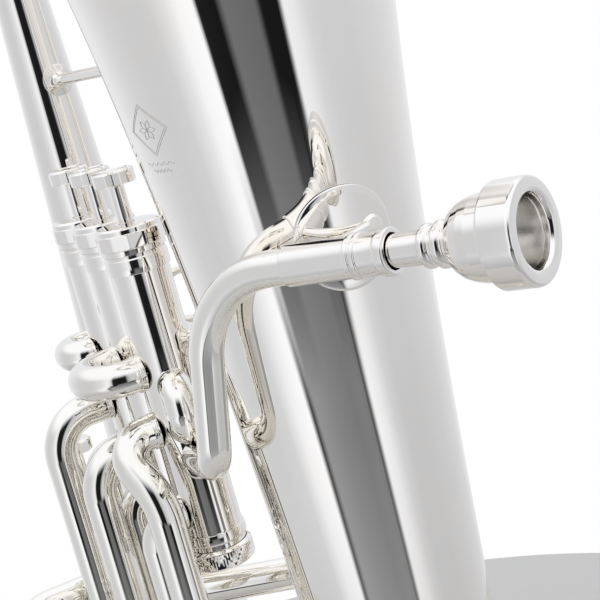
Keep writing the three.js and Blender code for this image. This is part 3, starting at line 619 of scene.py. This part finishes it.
def bell_patch():
    """A thin round plate that lies on the bell."""
    side = Vector((0, 0, 1)).cross(patch_out)
    verts, faces, sides, rings = [], [], 96, 16
    radii = [21.5 * k / rings for k in range(1, rings + 1)]

    def on_bell(u, w, lift):
        z = PATCH_Z + w
        r = bell_radius(z) + lift
        a = PATCH_ANGLE + u / bell_radius(PATCH_Z)
        return Vector((BELL[0] + r * math.cos(a), BELL[1] + r * math.sin(a), z))

    radii[-3:] = [20.3, 20.9, 21.3, 21.5]
    rings = len(radii)
    for lift, order in ((GAP + 1.1, radii), (GAP + 0.1, radii)):
        verts.append(on_bell(0, 0, lift))
        for rho in order:
            soft = max(0, (rho - 20.3) / 1.2) ** 2 * 0.6 if lift > 1 else 0
            verts += [on_bell(rho * math.cos(t), rho * math.sin(t), lift - soft)
                      for t in (2 * math.pi * k / sides for k in range(sides))]
    half = 1 + rings * sides
    for base, flip in ((0, False), (half, True)):
        for k in range(sides):
            tri = (base, base + 1 + k, base + 1 + (k + 1) % sides)
            faces.append(tri[::-1] if flip else tri)
        for i in range(rings - 1):
            a, b = base + 1 + i * sides, base + 1 + (i + 1) * sides
            for k in range(sides):
                quad = (a + k, b + k, b + (k + 1) % sides, a + (k + 1) % sides)
                faces.append(quad[::-1] if flip else quad)
    a, b = 1 + (rings - 1) * sides, half + 1 + (rings - 1) * sides
    faces += [(a + k, b + k, b + (k + 1) % sides, a + (k + 1) % sides) for k in range(sides)]
    return verts, faces


piece("bell_patch_plate", bell_patch(), ["bell_patch"], "instrument", SILVER, sharp=50)


def post(start, end, radius, foot, foot_r):
    """A waisted brace bar with a domed foot at each end."""
    length = (end - start).length
    return lathe(rounded([
        (0, 0), (foot_r, 0), (foot_r, foot * 0.5), (foot_r * 0.75, foot), (radius * 1.35, foot * 1.6),
        (radius, foot * 3),
        (radius, length - foot * 3), (radius * 1.35, length - foot * 1.6), (foot_r * 0.75, length - foot),
        (foot_r, length - foot * 0.5), (foot_r, length), (0, length),
    ], 0.5), 48, start, (end - start).normalized())


POST_ANGLE = math.radians(188.7)
post_out = Vector((math.cos(POST_ANGLE), math.sin(POST_ANGLE), 0))
brace_end = on_pipe(46)
brace_start = at(BELL, PIPE_Z + 2.5) + post_out * (bell_radius(PIPE_Z) + GAP + 0.6)
toward = (brace_end - brace_start).normalized()
bar = (brace_end - brace_start).length - PIPE_R
foot = lathe(rounded([(0, 0), (5.4, 0), (5.0, 1.0), (3.6, 2.4), (0, 3.4)], 0.4), 48, brace_start, post_out)
piece("receiver_post", merged(lathe(rounded([(0, 1.5), (2.4, 1.6), (3.1, 3.4), (2.7, bar * 0.3),
    (2.7, bar * 0.7), (3.2, bar), (0, bar)], 0.6),
      48, brace_start, toward), foot), ["receiver_brace"], "instrument", SILVER)


def span(node, a, ra, b, rb):
    """A brace between the surfaces of two upright tubes."""
    direction = (b - a).normalized()
    return piece(f"{node}_bar", post(a + direction * (ra - 0.6), b - direction * (rb - 0.6), 3, 1.4, 8.5),
                 [node], "instrument", SILVER)


def branch_radius(z):
    return BRANCH_R_LOW + (BRANCH_R_HIGH - BRANCH_R_LOW) * (z - BOW_TOP) / (TOP_BOW_Z - BOW_TOP)


span("bell_branch_brace", at(BELL, 430), bell_radius(430), at(BRANCH, 430), branch_radius(430))
span("valve_branch_brace", valve_at(3, 330), CASING_R, at(BRANCH, 330), branch_radius(330))
span("valve_bell_brace", valve_at(1, 307), CASING_R, at(BELL, 307), bell_radius(307))


def thumb_ring():
    r = 12.5
    centre = Vector((V2, VY - CASING_R - r - 3.4, 318))
    rings = []
    for k in range(64):
        a = 2 * math.pi * k / 64
        out = Vector((0, math.cos(a), math.sin(a)))
        ring = [centre + out * (r + 2.1 * math.cos(t)) + Vector((2.8, 0, 0)) * math.sin(t)
                for t in (2 * math.pi * j / 20 for j in range(20))]
        rings.append(ring)
    foot = lathe(rounded([(0, 0), (3.2, 0), (3, 3), (5.4, 4.6), (5.6, 5.6), (0, 5.6)], 0.3), 40,
        centre + Vector((0, r, 0)), (0, 1, 0))
    return merged(skin(rings, True), foot)


piece("thumb_ring_loop", thumb_ring(), ["thumb_ring"], "instrument", SILVER)

# ---------------------------------------------------------------- engraving
def engraving():
    """A lozenge around a flower, over two wavy lines, cut lightly into the bell."""
    centre_z, heading = 407, math.radians(104)

    def spot(u, w):
        z = centre_z + w
        a = heading + u / bell_radius(centre_z)
        r = bell_radius(z) + 0.02
        return Vector((BELL[0] + r * math.cos(a), BELL[1] + r * math.sin(a), z))

    lines = []
    for size in (1.0, 0.9):
        corners = [(0, 11), (13, 0), (0, -11), (-13, 0), (0, 11)]
        path = []
        for (u0, w0), (u1, w1) in zip(corners, corners[1:]):
            path += [((u0 + (u1 - u0) * k / 12) * size, (w0 + (w1 - w0) * k / 12) * size) for k in range(13)]
        lines.append(path)
    for turn in range(6):  # leaves round the middle
        a = math.pi / 3 * turn
        for side in (1, -1):
            leaf = []
            for k in range(11):
                t = k / 10
                along, across = 5.6 * t, side * 1.3 * math.sin(math.pi * t)
                leaf.append((along * math.cos(a) - across * math.sin(a),
                    0.8 * (along * math.sin(a) + across * math.cos(a))))
            lines.append(leaf)
    for drop, half in ((-14.5, 10), (-17.5, 6.5)):
        lines.append([(half * (k / 20 - 1), drop + 0.7 * math.sin(k * math.pi / 4)) for k in range(41)])
    parts = []
    for path in lines:
        points = [spot(*p) for p in path]
        stations, distance = [], 0
        for i, point in enumerate(points):
            ahead = points[min(i + 1, len(points) - 1)] - points[max(i - 1, 0)]
            if i:
                distance += (point - points[i - 1]).length
                if (point - points[i - 1]).length < 1e-4:
                    continue
            stations.append((point, ahead.normalized(), distance))
        parts.append(pipe(stations, 0.13, 0.06, 6))
    return merged(*parts)


ENGRAVED = metal("engraved_line", (0.62, 0.6, 0.57), (0.45, 0.44, 0.42), 0.35, 0.1, 1500, 0.1)
piece("bell_engraving", engraving(), [], "instrument", ENGRAVED)

# ---------------------------------------------------------------- CAD nodes that stay, and what is on them
for name, node in frame["nodes"].items():
    finish = NICKEL if name.startswith("piston_") and "spring" not in name else WIRE if "spring" in name else SILVER
    node.data.materials.clear()
    node.data.materials.append(finish)

# ---------------------------------------------------------------- floor, light and camera
def stage_floor():
    verts, faces = lathe([(0, 0), (360, 0), (360, -4), (0, -4)], 128)
    mesh = bpy.data.meshes.new("floor")
    mesh.from_pydata([tuple(Vector(v) * 0.001) for v in verts], [], faces)
    obj = bpy.data.objects.new("floor", mesh)
    bpy.context.collection.objects.link(obj)
    material = bpy.data.materials.new("pale_floor")
    material.use_nodes = True
    shader = material.node_tree.nodes["Principled BSDF"]
    shader.inputs["Base Color"].default_value = (0.66, 0.648, 0.62, 1)
    shader.inputs["Roughness"].default_value = 0.9
    mesh.materials.append(material)
    obj.location.z = -0.0005


def grey(level):
    """Linear light for a display level of 0 to 255."""
    c = level / 255
    return c / 12.92 if c <= 0.04045 else ((c + 0.055) / 1.055) ** 2.4


# The studio round the object: display level against heading, in degrees from +X, for high and low directions.
HIGH_STUDIO = [(-180, 24), (-175, 24), (-172, 240), (-165, 234), (-155, 215), (-145, 207), (-120, 204),
    (-90, 209),
               (-60, 221), (-40, 235), (20, 232), (40, 218), (55, 208), (75, 205), (92, 210), (104, 228),
               (113, 248),
               (125, 255), (128, 30), (141, 24), (146, 112), (168, 104), (172, 24), (180, 24)]
TOP_STUDIO = [(-180, 205), (-165, 222), (-150, 213), (-120, 208), (-90, 214), (-60, 226), (-40, 236),
    (15, 233),
              (45, 214), (65, 207), (90, 207), (110, 222), (126, 245), (133, 210), (136, 34), (150, 26),
              (163, 30),
              (166, 160), (172, 198), (180, 205)]
LOW_STUDIO = [(-180, 120), (-178, 30), (-174, 246), (-165, 236), (-155, 212), (-143, 200), (-120, 199),
    (-90, 205),
              (-60, 215), (-40, 228), (20, 212), (45, 206), (70, 207), (90, 214), (104, 244), (118, 255),
              (122, 35), (127, 150), (145, 134), (165, 122), (176, 126), (180, 120)]


def studio_ramp(tree, stops, heading):
    ramp = tree.nodes.new("ShaderNodeValToRGB")
    elements = ramp.color_ramp.elements
    while len(elements) < len(stops):
        elements.new(0.5)
    for element, (angle, level) in zip(elements, stops):
        element.position = (angle + 180) / 360
        element.color = (*[grey(level)] * 3, 1)
    tree.links.new(heading, ramp.inputs["Fac"])
    return ramp.outputs["Color"]


def world():
    """White all round for the eye. Reflections see a white studio with one dark opening in it."""
    world_ = bpy.data.worlds.new("studio")
    bpy.context.scene.world = world_
    world_.use_nodes = True
    tree = world_.node_tree
    tree.nodes.clear()
    new, link = tree.nodes.new, tree.links.new

    def math_node(operation, a, b=None):
        node = new("ShaderNodeMath")
        node.operation = operation
        for socket, value in zip(node.inputs, (a, b)):
            if value is None:
                continue
            if isinstance(value, (int, float)):
                socket.default_value = value
            else:
                link(value, socket)
        return node.outputs[0]

    def blend_(factor, a, b):
        node = new("ShaderNodeMix")
        node.data_type = "RGBA"
        for key, value in (("Factor", factor), ("A", a), ("B", b)):
            socket = next(s for s in node.inputs if s.name == key and s.type == ("VALUE" if key ==
                "Factor" else "RGBA"))
            if isinstance(value, tuple):
                socket.default_value = value
            else:
                link(value, socket)
        return next(s for s in node.outputs if s.type == "RGBA")

    direction = new("ShaderNodeSeparateXYZ")
    link(new("ShaderNodeTexCoord").outputs["Generated"], direction.inputs[0])
    x, y, z = direction.outputs
    heading = math_node("ADD", math_node("DIVIDE", math_node("ARCTAN2", y, x), 2 * math.pi), 0.5)
    height = new("ShaderNodeMapRange")
    height.inputs["From Min"].default_value = -0.30
    height.inputs["From Max"].default_value = -0.40
    link(z, height.inputs["Value"])
    lower = blend_(height.outputs[0], studio_ramp(tree, HIGH_STUDIO, heading),
        studio_ramp(tree, LOW_STUDIO, heading))
    level = new("ShaderNodeMapRange")
    level.inputs["From Min"].default_value = -0.27
    level.inputs["From Max"].default_value = -0.21
    link(z, level.inputs["Value"])
    around = blend_(level.outputs[0], lower, studio_ramp(tree, TOP_STUDIO, heading))
    ground = new("ShaderNodeMapRange")
    ground.inputs["From Min"].default_value = -0.42
    ground.inputs["From Max"].default_value = -0.8
    link(z, ground.inputs["Value"])
    around = blend_(ground.outputs[0], around, (0.42, 0.42, 0.42, 1))
    overhead = new("ShaderNodeMapRange")
    overhead.interpolation_type = "SMOOTHSTEP"
    overhead.inputs["From Min"].default_value = 0.35
    overhead.inputs["From Max"].default_value = 0.75
    link(z, overhead.inputs["Value"])
    seen = blend_(overhead.outputs[0], around, (1.0, 1.0, 1.0, 1))
    cool = new("ShaderNodeMix")  # cancels the silver's own warmth in a first reflection
    cool.data_type, cool.blend_type = "RGBA", "MULTIPLY"
    cool.inputs[0].default_value = 1
    link(seen, cool.inputs[6])
    cool.inputs[7].default_value = (1.0, 1.022, 1.08, 1)
    seen = cool.outputs[2]
    path = new("ShaderNodeLightPath")
    background = new("ShaderNodeBackground")
    link(blend_(path.outputs["Is Camera Ray"], seen, (1.0, 1.0, 1.0, 1)), background.inputs["Color"])
    link(background.outputs[0], new("ShaderNodeOutputWorld").inputs["Surface"])


def camera():
    forward = Vector((0.90874, -0.36340, -0.20526))
    right = Vector((-0.40789, -0.87747, -0.25234))
    up = Vector((0.08840, -0.31303, 0.94562))
    data = bpy.data.cameras.new("camera")
    data.sensor_width = 36
    data.lens = 91.18
    data.clip_start = 0.01
    obj = bpy.data.objects.new("camera", data)
    bpy.context.collection.objects.link(obj)
    turn = Matrix((right, up, -forward)).transposed().to_4x4()
    obj.matrix_world = Matrix.Translation(Vector((-0.6986, 0.2292, 0.45235))) @ turn
    bpy.context.scene.camera = obj


stage_floor()
world()
camera()
bpy.context.scene.view_settings.view_transform = "Standard"
